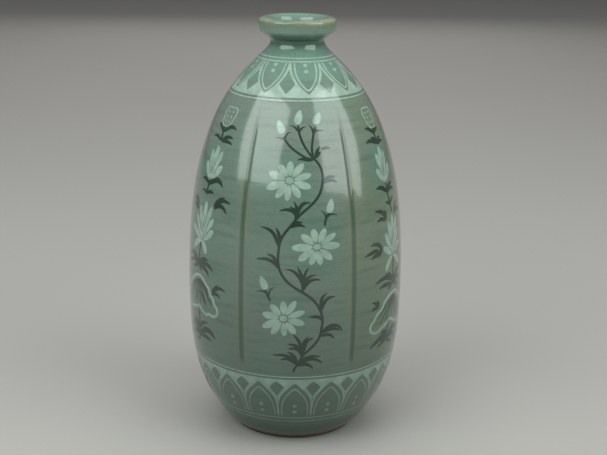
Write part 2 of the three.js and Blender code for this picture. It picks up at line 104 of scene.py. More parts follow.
# how much the radius grows in a millimetre of height
def outlineSlope(height):
    return outlineRadius(height + 0.5) - outlineRadius(height - 0.5)


def smoothStep(value, low, high):
    share = np.clip((value - low) / (high - low), 0, 1)
    return share * share * (3 - 2 * share)


# radius of the lobed wall
def wallRadius(angle, height):
    low, high = wall["grooveSpan"]
    fadeLow, fadeHigh = wall["grooveFade"]
    strength = smoothStep(height, low, low + fadeLow) * (1 - smoothStep(height, high - fadeHigh, high))
    lobe = 360 / wall["lobes"]
    fromLobe = (angle - wall["lobeTurn"] + lobe / 2) % lobe - lobe / 2
    swell = wall["lobeSwell"] * np.cos(np.radians(fromLobe / lobe * 180)) ** 2
    fromGroove = (lobe / 2 - np.abs(fromLobe)) / wall["grooveHalfAngle"]
    groove = wall["grooveDepth"] * np.exp(-fromGroove ** 2)
    return outlineRadius(height) + (swell - groove) * strength


# points on the wall, lifted off it along its normal, in metres
def wallPoints(angle, height, lift):
    slope = outlineSlope(height)
    out = lift / np.sqrt(1 + slope ** 2)
    radius = wallRadius(angle, height) + out
    turn = np.radians(angle)
    return np.stack([radius * np.sin(turn), -radius * np.cos(turn), height - out * slope], axis=-1) * mm


# drawings are flat and in millimetres: x round the wall from the panel's middle, y along the wall upwards
def place(angle, height):
    along = np.interp(height, outline[:, 0], meridian)
    return np.array([math.radians(angle) * outlineRadius(height), along])


def unplace(x, y):
    height = np.interp(y, meridian, outline[:, 0])
    return np.degrees(x / outlineRadius(height)), height


creaseAngle = 0.7  # radians; a sharper edge isn't shaded smooth


def addObject(name, data):
    added = bpy.data.objects.new(name, data)
    bpy.context.scene.collection.objects.link(added)
    return added


def newPiece(name, bm, material, slot, *nodes):
    bm.normal_update()
    for face in bm.faces:
        face.smooth = True
    for edge in bm.edges:
        edge.smooth = not edge.is_manifold or edge.calc_face_angle() < creaseAngle
    mesh = bpy.data.meshes.new(name)
    bm.to_mesh(mesh)
    bm.free()
    mesh.materials.append(material)
    piece = addObject(name, mesh)
    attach(piece, "root")
    if nodes:
        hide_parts(*nodes)


# from a colour of 0 to 255 to the linear one that a shader takes
def linear(colour):
    parts = [part / 255 for part in colour]
    return [part / 12.92 if part <= 0.04045 else ((part + 0.055) / 1.055) ** 2.4 for part in parts]


# shader maths: a wire is an output socket that can be added, multiplied and so on
class Wire:
    def __init__(self, shader, socket):
        self.shader = shader
        self.socket = socket

    def math(self, operation, *values):
        return self.shader.node("Math", {"operation": operation}, dict(enumerate(values)))

    def __add__(self, other):
        return self.math("ADD", self, other)

    def __sub__(self, other):
        return self.math("SUBTRACT", self, other)

    def __rsub__(self, other):
        return self.math("SUBTRACT", other, self)

    def __mul__(self, other):
        return self.math("MULTIPLY", self, other)

    __radd__ = __add__
    __rmul__ = __mul__

    def __pow__(self, other):
        return self.math("POWER", self, other)

    def ramp(self, low, high):
        inputs = {"Value": self, "From Min": low, "From Max": high}
        return self.shader.node("MapRange", {"interpolation_type": "SMOOTHSTEP"}, inputs)

    # a zone sets in over its span of millimetres, or fades out over it, and is full at its share
    def zone(self, name, fading=False):
        share, low, high = zones[name]
        rise = self.ramp(low * mm, high * mm)
        return (1 - rise if fading else rise) * share

    def mix(self, first, second, blend="MIX"):
        settings = {"data_type": "RGBA", "clamp_factor": True, "blend_type": blend}
        return self.shader.node("Mix", settings, {"Factor": self, 6: first, 7: second}, 2)


class Shader:
    def __init__(self, name):
        self.material = bpy.data.materials.new(name)
        self.material.use_nodes = True
        self.tree = self.material.node_tree
        self.surface = self.tree.nodes["Principled BSDF"]
        self.object = self.node("TexCoord", {}, {}, "Object")
        self.x, self.y, self.z = (self.node("SeparateXYZ", {}, {0: self.object}, i) for i in range(3))

    def node(self, kind, settings, inputs, output=0):
        made = self.tree.nodes.new("ShaderNode" + kind)
        for name, value in settings.items():
            setattr(made, name, value)
        self.fill(made, inputs)
        return Wire(self, made.outputs[output])

    def fill(self, made, inputs):
        for name, value in inputs.items():
            if isinstance(value, Wire):
                self.tree.links.new(value.socket, made.inputs[name])
            elif isinstance(value, (list, tuple)) and len(value) < len(made.inputs[name].default_value):
                made.inputs[name].default_value = [*value, 1]
            else:
                made.inputs[name].default_value = value

    def noise(self, scale, detail=2, stretch=(1, 1, 1), shift=(0, 0, 0), output=0):
        where = self.node("Mapping", {}, {"Vector": self.object, "Location": shift, "Scale": stretch})
        return self.node("TexNoise", {}, {"Vector": where, "Scale": scale, "Detail": detail}, output)

    def mask(self, name):
        settings = dict(masks[name])
        levels = settings.pop("levels")
        return self.noise(**settings).ramp(*levels)

    def bump(self, height):
        return self.node("Bump", {}, {"Height": height, "Distance": 1, "Strength": 1})


glaze = {
    "celadon": (107, 126, 113),
    "grey": (113, 123, 114),
    "olive": (112, 124, 102),
    "teal": (92, 124, 112),
    "neck": (108, 140, 126),
    # glaze gathered thick in the grooves and cracks; the same tone is painted shade under the mouth's flare
    # and, with thicker glaze, towards the foot
    "pooledAndShade": (50, 78, 60),
    "ridge": (120, 123, 103),
    "thin": (148, 150, 126),
    "whiteSlip": (156, 176, 162),
    "blackSlip": (41, 54, 45),
    # painted shade: the colour is darkened towards the foot, standing in for the light falling off lower
    # down
    "paintedShadeTint": (0.55, 0.62, 0.61),
    "crackleScale": 170,
    "crackWidth": 0.09,
    "fineCrackleScale": 420,
    "fineCrackWidth": 0.14,
    "crackleStretch": (1, 1, 3),
    "crackWander": 0.006,
    "cracksOnGlaze": 0.3,
    "cracksOnSlip": 0.22,
    "roughness": 0.1,
    "roughnessSpread": 0.08,
    "coat": 0.5,
    "coatRoughness": 0.03,
    "ior": 1.5,
    # bump heights in metres
    "ripple": 0.0006,
    "speck": 0.000006,
    "crackDepth": 0.000012,
    "warmWander": 60,
    # the bluer places, as (angle, height), in each third of the vase
    "halos": ((-4.5, 200), (10, 156), (-6.5, 106), (60, 203), (60, 160)),
    "haloRepeats": 3,
    "streakShare": 0.3,
    "mottleShare": 0.3,
    # a groove has the cosine 1 at its bottom and -1 at a lobe's middle
    "ridgeCosine": (0.86, 0.95),
    "ridgeShare": 0.4,
    "grooveCosine": (0.982, 0.999),
    "grooveShare": 0.7,
    # pooled glaze starts and is full this far above the groove's foot, and fades this far below its head
    "grooveEnds": (2, 12, 22),
}
# share, and the span in millimetres
zones = {
    # painted shade towards the foot: full below this span and gone above it
    "depth": (1, 40, 220),
    "warm": (0.75, 30, 95),
    "halo": (0.75, 9, 27),
    # darker towards the foot: thicker glaze there, and painted shade where the wall turns down towards the
    # floor
    "base": (0.3, 22, 68),
    "low": (0.6, 8, 24),
    # painted shade under the mouth's flare, in the neck's waist
    "waist": (0.75, 278, 284),
    "aboveWaist": (1, 286, 291),
    "neck": (0.75, 252, 270),
    "outside": (1, 20.5, 24),
    "mouthBand": (0.7, 290, 296),
    "lip": (0.85, 294.5, 299.6),
    "footEdge": (0.8, 4.6, 8.4),
    # the white slip darkens towards the foot: thicker glaze over it, and painted shade
    "slipBase": (0.3, 30, 66),
    "worn": (0.7, 0, 1.1),
    "glassy": (1, 1.6, 3.4),
}
# noise masks, each with the levels at which it starts and is full
masks = {
    "clouds": {"scale": 22, "detail": 3, "stretch": (1, 1, 0.7), "levels": (0.4, 0.64)},
    "streaks": {"scale": 30, "detail": 4, "stretch": (1, 1, 9), "shift": (1, 4, 2), "levels": (0.45, 0.75)},
    "patches": {"scale": 34, "detail": 3, "shift": (5, 2, 7), "levels": (0.36, 0.62)},
    "ridges": {"scale": 18, "detail": 2, "stretch": (1, 1, 0.3), "levels": (0.3, 0.6)},
    "blotches": {"scale": 70, "detail": 3, "levels": (0.3, 0.6)},
    "fineCracks": {"scale": 40, "levels": (0.35, 0.6)},
    "mottle": {"scale": 140, "detail": 3, "levels": (0.35, 0.65)},
    "burnt": {"scale": 60, "detail": 4, "levels": (0.35, 0.65)},
    "wornClay": {"scale": 220, "detail": 3, "levels": (0.4, 0.62)},
}
# plain noises by their scale and detail
noises = {
    "crackWander": (60, 3),
    "ripple": (26, 1),
    "speck": (900, 1),
    "roughness": (120, 2),
    "warm": (11, 2),
    "grit": (1400, 2),
    "floor": (3, 2),
}


def tone(name):
    return linear(glaze[name])


# a hairline net: 1 on a crack, 0 between
def crackle(shader, scale, width):
    where = shader.node("Mapping", {}, {"Vector": shader.object, "Scale": glaze["crackleStretch"]})
    wander = shader.noise(*noises["crackWander"], output=1)
    bent = shader.node("VectorMath", {"operation": "SCALE"}, {0: wander, "Scale": glaze["crackWander"]})
    moved = shader.node("VectorMath", {"operation": "ADD"}, {0: where, 1: bent})
    edge = shader.node("TexVoronoi", {"feature": "DISTANCE_TO_EDGE"}, {"Vector": moved, "Scale": scale})
    return 1 - edge.ramp(0, width)


# the glaze over a colour: crackle, gloss, a faint unevenness, and painted shade towards the foot
def glazed(shader, colour, crackStrength, paintedShadeShare):
    cracks = crackle(shader, glaze["crackleScale"], glaze["crackWidth"])
    fine = crackle(shader, glaze["fineCrackleScale"], glaze["fineCrackWidth"]) * shader.mask("fineCracks")
    dark = (cracks + fine) * (crackStrength / 2)
    # painted shade: darker towards the foot, where the light falls off
    depth = shader.z.zone("depth", True) * paintedShadeShare
    shade = dark.mix(depth.mix(colour, glaze["paintedShadeTint"], "MULTIPLY"), tone("pooledAndShade"))
    ripple = shader.noise(*noises["ripple"]) * glaze["ripple"]
    speck = shader.noise(*noises["speck"]) * glaze["speck"]
    shader.fill(shader.surface, {
        "Base Color": shade,
        "Roughness": glaze["roughness"] + shader.noise(*noises["roughness"]) * glaze["roughnessSpread"],
        "Normal": shader.bump(ripple + speck - cracks * glaze["crackDepth"]),
        "IOR": glaze["ior"],
        "Coat Weight": glaze["coat"],
        "Coat Roughness": glaze["coatRoughness"],
        "Coat IOR": glaze["ior"],
    })


def celadonMaterial():
    shader = Shader("celadonGlaze")
    height = shader.z
    turn = height.math("ARCTAN2", shader.x, shader.y * -1)
    colour = shader.mask("clouds").mix(tone("celadon"), tone("grey"))
    # one side was fired warmer than the other
    warm = (shader.x + shader.noise(*noises["warm"]) * (glaze["warmWander"] * mm)).zone("warm")
    colour = warm.mix(colour, tone("olive"))
    # the glaze turns bluer round the white flowers
    halo = 0
    sector = math.radians(180 / glaze["haloRepeats"])
    for angle, middle in glaze["halos"]:
        fromHalo = turn.math("WRAP", turn - math.radians(angle), sector, -sector)
        across = fromHalo * (outlineRadius(middle) * mm)
        along = height - middle * mm
        reach = (across * across + along * along) ** 0.5
        halo = halo + reach.zone("halo", True)
    colour = (halo * shader.mask("patches")).mix(colour, tone("teal"))
    colour = (shader.mask("streaks") * glaze["streakShare"]).mix(colour, tone("pooledAndShade"))
    # a pale ridge runs along each side of the dark groove
    lobeTurn = turn * wall["lobes"] - math.radians(wall["lobeTurn"] * wall["lobes"])
    valley = turn.math("COSINE", lobeTurn) * -1
    low, high = wall["grooveSpan"]
    start, full, fade = glaze["grooveEnds"]
    setIn = height.ramp((low + start) * mm, (low + full) * mm)
    span = setIn * (1 - height.ramp((high - fade) * mm, high * mm))
    ridge = valley.ramp(*glaze["ridgeCosine"]) * shader.mask("ridges") * span
    colour = (ridge * glaze["ridgeShare"]).mix(colour, tone("ridge"))
    groove = valley.ramp(*glaze["grooveCosine"]) * span
    colour = height.zone("neck").mix(colour, tone("neck"))
    # darker towards the foot: thicker glaze there, and painted shade where the wall turns down towards the
    # floor
    pooledAndShade = height.zone("base", True) + height.zone("low", True)
    # painted shade under the mouth's flare, in the neck's waist
    waist = height.zone("waist") * height.zone("aboveWaist", True)
    colour = (groove * glaze["grooveShare"] + pooledAndShade + waist).mix(colour, tone("pooledAndShade"))
    # the band of the mouth is olive, and the glaze thins to buff on the lip and at the foot's edge
    outside = ((shader.x * shader.x + shader.y * shader.y) ** 0.5).zone("outside")
    colour = (height.zone("mouthBand") * outside).mix(colour, tone("olive"))
    lip = height.zone("lip") * outside * shader.mask("blotches")
    colour = (lip + height.zone("footEdge", True)).mix(colour, tone("thin"))
    glazed(shader, colour, glaze["cracksOnGlaze"], 1)
    return shader.material


def slipMaterial(name, edge, paintedShadeShare):
    shader = Shader(name)
    colour = (shader.mask("mottle") * glaze["mottleShare"]).mix(tone(name), tone(edge))
    # darker towards the foot: thicker glaze over the slip, and painted shade
    colour = shader.z.zone("slipBase", True).mix(colour, tone("pooledAndShade"))
    glazed(shader, colour, glaze["cracksOnSlip"], paintedShadeShare)
    return shader.material


clay = {
    "brown": (96, 74, 58),
    "dark": (66, 52, 42),
    "grey": (124, 116, 102),
    "glassy": (96, 100, 84),
    "roughness": 0.8,
    "glassyRoughness": 0.2,
    # bump heights in metres
    "grit": 0.00008,
    "burnt": 0.00004,
}


def clayMaterial():
    shader = Shader("bareClay")
    burnt = shader.mask("burnt")
    colour = burnt.mix(linear(clay["dark"]), linear(clay["brown"]))
    worn = shader.z.zone("worn", True) * shader.mask("wornClay")
    colour = worn.mix(colour, linear(clay["grey"]))
    # a skin of glaze reaches down to the upper part
    glassy = shader.z.zone("glassy")
    shader.fill(shader.surface, {
        "Base Color": glassy.mix(colour, linear(clay["glassy"])),
        "Roughness": clay["roughness"] - glassy * (clay["roughness"] - clay["glassyRoughness"]),
        "Normal": shader.bump(shader.noise(*noises["grit"]) * clay["grit"] + burnt * clay["burnt"]),
    })
    return shader.material


celadon = celadonMaterial()
# the last number is how much of the painted shade towards the foot a slip takes
whiteSlip = slipMaterial("whiteSlip", "teal", 0.75)
blackSlip = slipMaterial("blackSlip", "pooledAndShade", 1)
bareClay = clayMaterial()
print("materials made")


# spins a profile of (height, radius) points round the vase's axis
def spinProfile(points, steps):
    bm = bmesh.new()
    verts = [bm.verts.new((0, -radius * mm, height * mm)) for height, radius in points]
    edges = [bm.edges.new(pair) for pair in zip(verts, verts[1:])]
    bmesh.ops.spin(bm, geom=verts + edges, cent=(0, 0, 0), axis=(0, 0, 1), angle=2 * math.pi, steps=steps,
                   use_merge=True)
    bmesh.ops.remove_doubles(bm, verts=bm.verts, dist=wall["weld"] * mm)
    bmesh.ops.recalc_face_normals(bm, faces=bm.faces)
    return bm


def makeBody():
    high = wall["seam"]
    outside = [*(row for row in outline if row[0] < high), (high, outlineRadius(high))]
    floor = outline[0][0] + wall["baseThickness"]
    heights = np.arange(high, floor + wall["thickness"], -wall["innerStep"])
    inside = [(height, outlineRadius(height) - wall["thickness"]) for height in heights]
    corner = [(floor + rise, inside[-1][1] - inset) for rise, inset in wall["innerCorner"]]
    bm = spinProfile([*wall["underside"], *outside, *inside, *corner, (floor, 0)], wall["stepsRound"])
    for vert in bm.verts:
        angle = math.degrees(math.atan2(vert.co.x, -vert.co.y))
        height = vert.co.z / mm
        if math.hypot(vert.co.x, vert.co.y) / mm > outlineRadius(height) - wall["skin"]:
            vert.co = Vector(wallPoints(angle, height, 0))
    newPiece("vase_body", bm, celadon, "celadon_glaze", "body_lower", "body_upper")


mouth = {
    "foot": 286,
    "radius": 27.3,
    "bandRise": 11.6,
    "lipRound": 2.4,
    "lipWidth": 5,
    # curves as (above the mouth's foot, in from its radius)
    "flare": ((0.5, 5.7), (2.9, 2.6), (4.5, 0.5), (5.9, 0)),
    "dish": ((13.4, 7), (11, 9)),
    "floorRise": 3.4,
    "floorRound": (3, 1),
    "neckWall": 4.6,
    "seamClear": 0.2,
    "arcSteps": 12,
    "curveStep": 0.7,
    "stepsRound": 180,
}


def makeNeck():
    seam, top, radius = wall["seam"], mouth["foot"], mouth["radius"]
    outside = [(seam, outlineRadius(seam)), *(row for row in outline if row[0] > seam + mouth["seamClear"])]
    flare = smoothCurve([outside[-1], *((top + rise, radius - inset) for rise, inset in mouth["flare"])],
                        mouth["curveStep"])[1:]
    arc = np.linspace(0, math.pi / 2, mouth["arcSteps"] + 1)
    crest, lip, middle = top + mouth["bandRise"], mouth["lipRound"], radius - mouth["lipWidth"]
    rim = [(crest + lip * math.sin(turn), middle + mouth["lipWidth"] * math.cos(turn)) for turn in arc]
    # the dish falls from the lip to the throat
    throat = outline[-1][1] - mouth["neckWall"]
    floor = top + mouth["floorRise"]
    above, widen = mouth["floorRound"]
    dish = smoothCurve([rim[-1], *((top + rise, radius - inset) for rise, inset in mouth["dish"]),
                        (floor + above, throat + widen), (floor, throat)], mouth["curveStep"])[1:]
    heights = np.arange(top, seam, -wall["rowStep"])
    down = [(height, outlineRadius(height) - mouth["neckWall"]) for height in heights]
    inside = [*dish, *down, (seam, outlineRadius(seam) - wall["thickness"])]
    bm = spinProfile([*outside, *flare, *rim, *inside, outside[0]], mouth["stepsRound"])
    newPiece("neck_and_mouth", bm, celadon, "celadon_glaze", "neck", "mouth_dish")


foot = {
    "radius": 45.3,
    "width": 4.8,
    "edgeRound": 1.2,
    "edgeCorner": 0.35,
    # (height, out from the radius)
    "outside": ((1.2, 0.1), (3.4, 2.1)),
    "innerSide": ((3, 0.4), (1.2, 0)),
    "topWidth": 8.5,
    "curveStep": 0.4,
    "steps": 180,
}


def makeFoot():
    outer, inner = foot["radius"], foot["radius"] - foot["width"]
    edge, corner = foot["edgeRound"], foot["edgeCorner"]
    top, topRadius = outline[0]
    outside = smoothCurve([(0, outer - edge), (corner, outer - corner),
                           *((height, outer + out) for height, out in foot["outside"]), (top, topRadius)],
                          foot["curveStep"])
    inside = smoothCurve([(top, topRadius - foot["topWidth"]),
                          *((height, inner + out) for height, out in foot["innerSide"]),
                          (corner, inner + corner), (0, inner + edge)], foot["curveStep"])
    bm = spinProfile([*outside, *inside, outside[0]], foot["steps"])
    newPiece("foot", bm, bareClay, "bare_clay", "foot_ring")


makeBody()
makeNeck()
makeFoot()
print("body, neck and foot made")

inlay = {
    "lift": 0.03,
    "liftStep": 0.0015,
    "depth": 0.5,
    "weld": 0.0004,
    "rowStep": 1.1,
    "leastRows": 8,
    "curveStep": 0.3,
    "straightPoints": 12,
    # a wider stroke has four strips across, and a shorter one has closer rows at its ends
    "wide": 3,
    "short": 30,
}
# how a stroke swells from its start and thins to its end
tapers = {
    "stem": (0.05, 0.05),
    "leaf": (0.5, 0.75),
    "sepal": (0.12, 0.9),
    "petal": (0.72, 0.58),
    "lotusPetal": (0.6, 0.5),
    "bud": (0.42, 0.75),
    "disc": (0.5, 0.5),
}


def drawnCurve(places):
    return smoothCurve([place(*spot) for spot in places], inlay["curveStep"])


def straight(start, end):
    return np.linspace(start, end, inlay["straightPoints"])


# the same height all round
def level(height):
    def flat(angle):
        return np.full_like(angle, height)

    return flat


# an inlay is one bmesh of strokes laid on the wall, each a hair higher than the one before
class Inlay:
    def __init__(self, panel):
        self.bm = bmesh.new()
        self.panel = panel
        self.strokes = 0

    def grid(self, long, across):
        made = bmesh.ops.create_grid(self.bm, x_segments=long, y_segments=across, size=0.5)["verts"]
        spots = np.array([vert.co[:2] for vert in made])
        return made, spots[:, 0] + 0.5, spots[:, 1] * 2

    def lay(self, verts, points):
        for vert, point in zip(verts, points):
            vert.co = Vector(point)

    # a stroke through (angle, height) places, with its greatest width and its taper
    def stroke(self, places, width, taper="leaf"):
        self.ribbon(drawnCurve(places), width, taper)

    def dot(self, spot, across, tall):
        half = np.array((across / 2, 0))
        self.ribbon(straight(place(*spot) - half, place(*spot) + half), tall, "disc")

    # a stroke along a path in the flat drawing; a closed one keeps its width
    def ribbon(self, path, width, taper, closed=False):
        length = np.linalg.norm(np.diff(path, axis=0), axis=1).sum()
        rows = max(inlay["leastRows"], round(length / inlay["rowStep"]))
        verts, share, side = self.grid(rows, 2 if width < inlay["wide"] else 4)
        ways = np.gradient(path, axis=0)
        half = np.full_like(share, width / 2)
        if closed:
            ways[0] = ways[-1] = (ways[0] + ways[-1]) / 2
        else:
            share = (1 - np.cos(math.pi * share)) / 2 if length < inlay["short"] else share
            first, last = tapers[taper]
            peak = (first / (first + last)) ** first * (last / (first + last)) ** last
            half = half * share ** first * (1 - share) ** last / peak

        def along(values):
            index = share * (len(path) - 1)
            columns = [np.interp(index, range(len(path)), column) for column in values.T]
            return np.stack(columns, axis=1)

        spots, ways = along(path), along(ways)
        ways /= np.linalg.norm(ways, axis=1)[:, None]
        flat = spots + np.stack([-ways[:, 1], ways[:, 0]], axis=1) * (side * half)[:, None]
        angle, height = unplace(flat[:, 0], flat[:, 1])
        lift = inlay["lift"] + self.strokes * inlay["liftStep"]
        self.lay(verts, wallPoints(angle + self.panel, height, lift))
        self.strokes += 1

    # a filled strip between two heights that may change round the vase
    def field(self, fromAngle, toAngle, lower, upper, long, across):
        verts, share, side = self.grid(long, across)
        angle = fromAngle + (toAngle - fromAngle) * share
        height = lower(angle) + (upper(angle) - lower(angle)) * (side + 1) / 2
        self.lay(verts, wallPoints(angle, height, inlay["lift"]))

    def ring(self, height, width):
        half = width / 2 / math.hypot(1, outlineSlope(height))
        self.field(0, 360, level(height - half), level(height + half), wall["stepsRound"], 1)

    def finish(self, name, material, slot, *nodes):
        bm = self.bm
        bmesh.ops.remove_doubles(bm, verts=bm.verts, dist=inlay["weld"] * mm)
        for face in bm.faces:
            centre = face.calc_center_median()
            if face.normal.dot(Vector((centre.x, centre.y, 0))) < 0:
                face.normal_flip()
        bmesh.ops.solidify(bm, geom=bm.faces[:], thickness=inlay["depth"] * mm)
        newPiece(name, bm, material, slot, *nodes)


# places are (angle from the panel's middle, height)
chrysanthemum = {
    "stem": (
        (8.5, 214), (11.5, 209.5), (13, 203), (12.5, 197), (10, 189.5), (6, 184), (1, 178.5), (-2.5, 173.5),
        (-5, 169.3), (-8, 164), (-9.6, 159), (-10.3, 152), (-10.4, 146), (-9.5, 140), (-7, 134), (-3, 129),
        (1, 125.5), (6.5, 120), (9.5, 115), (11.3, 110), (12.2, 104), (11.8, 98), (10.8, 92), (8.5, 87),
        (5, 82), (2.5, 78.5), (0, 72), (-1.6, 68.4), (-2.3, 65.4),
    ),
    "stemWidth": 1.8,
    "twigs": (
        ((8.5, 213.5), (4, 214.5), (0, 217), (-4, 220), (-8, 224.3), (-10.2, 227.6)),
        ((8.5, 213.5), (5, 218.5), (2, 224), (0, 229.5), (-1, 234.6)),
        ((8.5, 213.5), (7.5, 219), (8.4, 226), (9.3, 230), (10.6, 233.4)),
        ((-14, 117.6), (-15.4, 121), (-16.8, 125.6)), ((13.2, 170), (14, 175), (15.6, 178.4)),
    ),
    "twigWidth": 1.6,
    "sepals": (
        ((-9.3, 226), (-8.4, 228.6), (-7, 230), (-4.6, 230.3)), ((-9.8, 226), (-12.5, 226.6), (-16, 226.4)),
        ((-0.8, 231), (-2.4, 233), (-4.4, 234.2), (-7.4, 234.3)),
        ((-0.4, 230.4), (1.2, 232.6), (3, 233.6), (5, 233.8)),
        ((9, 229.6), (8.6, 232), (7.4, 234), (5.4, 235.4)),
        ((9, 230), (11, 231.2), (13.6, 231.3), (17, 231)),
        ((14.2, 174), (13.6, 177.2), (12.4, 179.4), (10.6, 180.4)),
        ((14.6, 175.8), (16.4, 177.4), (18.4, 177.2), (20.6, 176.3)),
        ((-16, 123), (-18, 124.2), (-20, 124.2), (-21.8, 123.6)),
        ((-15.2, 121), (-14.6, 124.4), (-13.4, 126.8), (-11.2, 127.8)),
    ),
    "leaves": (
        ((9.5, 214), (10.2, 217.5), (11.8, 220.4), (13, 221.4)), ((9, 214), (11, 216.4), (13.2, 218.4)),
        ((9, 213.6), (5, 213.2), (1.6, 213.8), (-1.4, 213.1)), ((13, 219.6), (16, 220.3), (19.2, 220)),
        ((13, 199), (15.4, 201.2), (18, 202), (20.6, 201.2)),
        ((13, 198), (15.8, 199.4), (18.6, 199.6), (21.4, 198)),
        ((-2.2, 174.5), (-1.8, 178), (-4, 180.6), (-7, 181.2), (-10.6, 179.9)),
        ((-2, 175), (-1.6, 179.4), (-3.4, 182), (-5.2, 183.2)),
        ((-2, 175), (-1.2, 180), (-1.8, 184), (-3, 186.8)),
        ((-2, 175), (-0.6, 180), (0.6, 183.4), (1, 186.4)),
        ((-2, 175), (-0.4, 181), (1.6, 184.6), (2.8, 187.2)),
        ((-1.6, 177), (0.8, 183.6), (3, 185.4), (6, 185.9)),
        ((-5.4, 169), (-3, 171.6), (-0.4, 173), (2, 172.6)),
        ((-5.4, 169), (-2.4, 170.8), (0.4, 171.1), (3.2, 169.6)),
        ((-9.6, 158.6), (-10, 163), (-10.8, 166.4), (-12, 169)),
        ((-10.4, 156), (-11.4, 160.6), (-13.6, 165.6), (-16.4, 167.8), (-20.2, 168.8)),
        ((-10.2, 141.6), (-11.6, 146.4), (-13.4, 149.4), (-16.4, 150.4)),
        ((-10, 141), (-12.4, 144.6), (-15.4, 146.8), (-18.6, 147), (-22, 146.2)),
        ((2, 124.5), (1.8, 131), (-0.4, 136.6), (-3.4, 140), (-7, 140.9)),
        ((2, 124.5), (2, 131), (1.2, 137), (-1, 143.2)), ((2, 124.5), (2.2, 132), (3.2, 138), (4.9, 142.4)),
        ((2.2, 126), (3, 132), (5.4, 135.6), (9, 136.9)),
        ((2.2, 126), (3.8, 130.4), (7, 133.4), (11.4, 132.8)),
        ((11.4, 110.4), (11.2, 116), (12, 120.6), (14.6, 123.6)),
        ((11.4, 110.4), (12.4, 115.4), (15, 119.6), (19, 120.4)),
        ((12.2, 103.6), (10.4, 106.4), (8.4, 107), (5, 107)),
        ((12, 95.4), (14.6, 98.2), (18, 99.6), (20.8, 98.4), (23.2, 94.4)),
        ((11.8, 94.6), (15, 96.6), (18.6, 97), (22.4, 94.6)),
        ((11.2, 92.4), (14, 93.2), (17, 92.2), (18.8, 89.4)),
        ((2.2, 78), (1.8, 84), (0.4, 89.4), (-2.8, 95)), ((2, 78), (1.4, 83), (-1.4, 86.2), (-5.4, 87.2)),
        ((2, 78), (0.8, 82), (-1.6, 84), (-5, 83.4)), ((2.2, 78), (2.4, 85), (3.6, 90.4), (5.4, 93)),
        ((2.2, 79), (3.4, 86), (5.4, 90.4), (8, 91.4)), ((0, 71), (-1.2, 76), (-3.4, 80), (-5.6, 81.2)),
        ((0, 71), (-3, 76.4), (-7, 78.6), (-13, 78.3)), ((0, 71), (-2.8, 74.6), (-5.6, 76), (-9.2, 75)),
        ((0.2, 71), (3, 75.6), (7, 77.8), (11.8, 77.2)), ((0.2, 71), (4, 74.8), (8.4, 75.6), (13, 71.8)),
        ((0.2, 70.6), (3.4, 72), (5.6, 71.2), (8, 68)),
    ),
    "leafWidth": 2.4,
    "sepalWidth": 1.6,
    "blossoms": {
        "top": (
            (-5.4, 200.2),
            (
                (-5, 212.4), (2.3, 211), (6.5, 204), (6.2, 195.6), (0.2, 189.2), (-6.5, 187),
                (-12.4, 188.6), (-18, 194.2), (-17.2, 204.6), (-11.6, 210),
            ),
        ),
        "middle": (
            (9.1, 156.2),
            (
                (7, 168.4), (13.5, 168.4), (19, 164.4), (21.2, 156.2), (17, 146.6), (11, 143.5),
                (5.8, 143.8), (-0.2, 147), (-3.7, 155.7), (1, 164.6),
            ),
        ),
        "low": (
            (-7.4, 105.8),
            (
                (-7.5, 118.4), (-1.3, 118.7), (3.2, 111.2), (3.1, 102.1), (-1.4, 94.8), (-7, 93),
                (-13.5, 93.8), (-18.2, 98.5), (-18.2, 108.2), (-14, 115.3),
            ),
        ),
    },
    "petalWidths": (4.8, 4.5, 4.4, 5, 4.8, 4.4, 4.6, 5.2, 5.4, 5),
    "petalStart": 2.9,
    "heart": (5.2, 4.2),
    "buds": {
        "left": ((-11, 229.4), (-14.6, 237.4)),
        "centre": ((-1.6, 235.2), (0.8, 244)),
        "right": ((10.6, 235), (15, 242.2)),
        "stem_right": ((15.9, 178.4), (17.4, 187.8)),
        "stem_left": ((-16.3, 125.6), (-19.4, 135)),
    },
    "budWidth": 5.2,
}
# the panels' middles; the drawings were made a degree off the front
chrysanthemumPanels = {"front": 1, "right_rear": 121, "left_rear": 241}


def chrysanthemumSpray(side, panel):
    spray = chrysanthemum
    name = side + "_chrysanthemum_"
    vine = Inlay(panel)
    vine.stroke(spray["stem"], spray["stemWidth"], "stem")
    for twig in spray["twigs"]:
        vine.stroke(twig, spray["twigWidth"], "stem")
    for sepal in spray["sepals"]:
        vine.stroke(sepal, spray["sepalWidth"], "sepal")
    for leaf in spray["leaves"]:
        vine.stroke(leaf, spray["leafWidth"])
    vine.finish(name + "vine_inlay", blackSlip, "black_slip", name + "vine")
    for part, (middle, tips) in spray["blossoms"].items():
        blossom = Inlay(panel)
        centre = place(*middle)
        for tip, width in zip(tips, spray["petalWidths"]):
            reach = place(*tip) - centre
            start = centre + reach * spray["petalStart"] / np.linalg.norm(reach)
            blossom.ribbon(straight(start, centre + reach), width, "petal")
        blossom.dot(middle, *spray["heart"])
        blossom.finish(f"{name}blossom_{part}_inlay", whiteSlip, "white_slip", f"{name}blossom_{part}")
    for part, ends in spray["buds"].items():
        bud = Inlay(panel)
        bud.stroke(ends, spray["budWidth"], "bud")
        bud.finish(f"{name}bud_{part}_inlay", whiteSlip, "white_slip", f"{name}bud_{part}")


for side, panel in chrysanthemumPanels.items():
    chrysanthemumSpray(side, panel)
print("chrysanthemum sprays made")

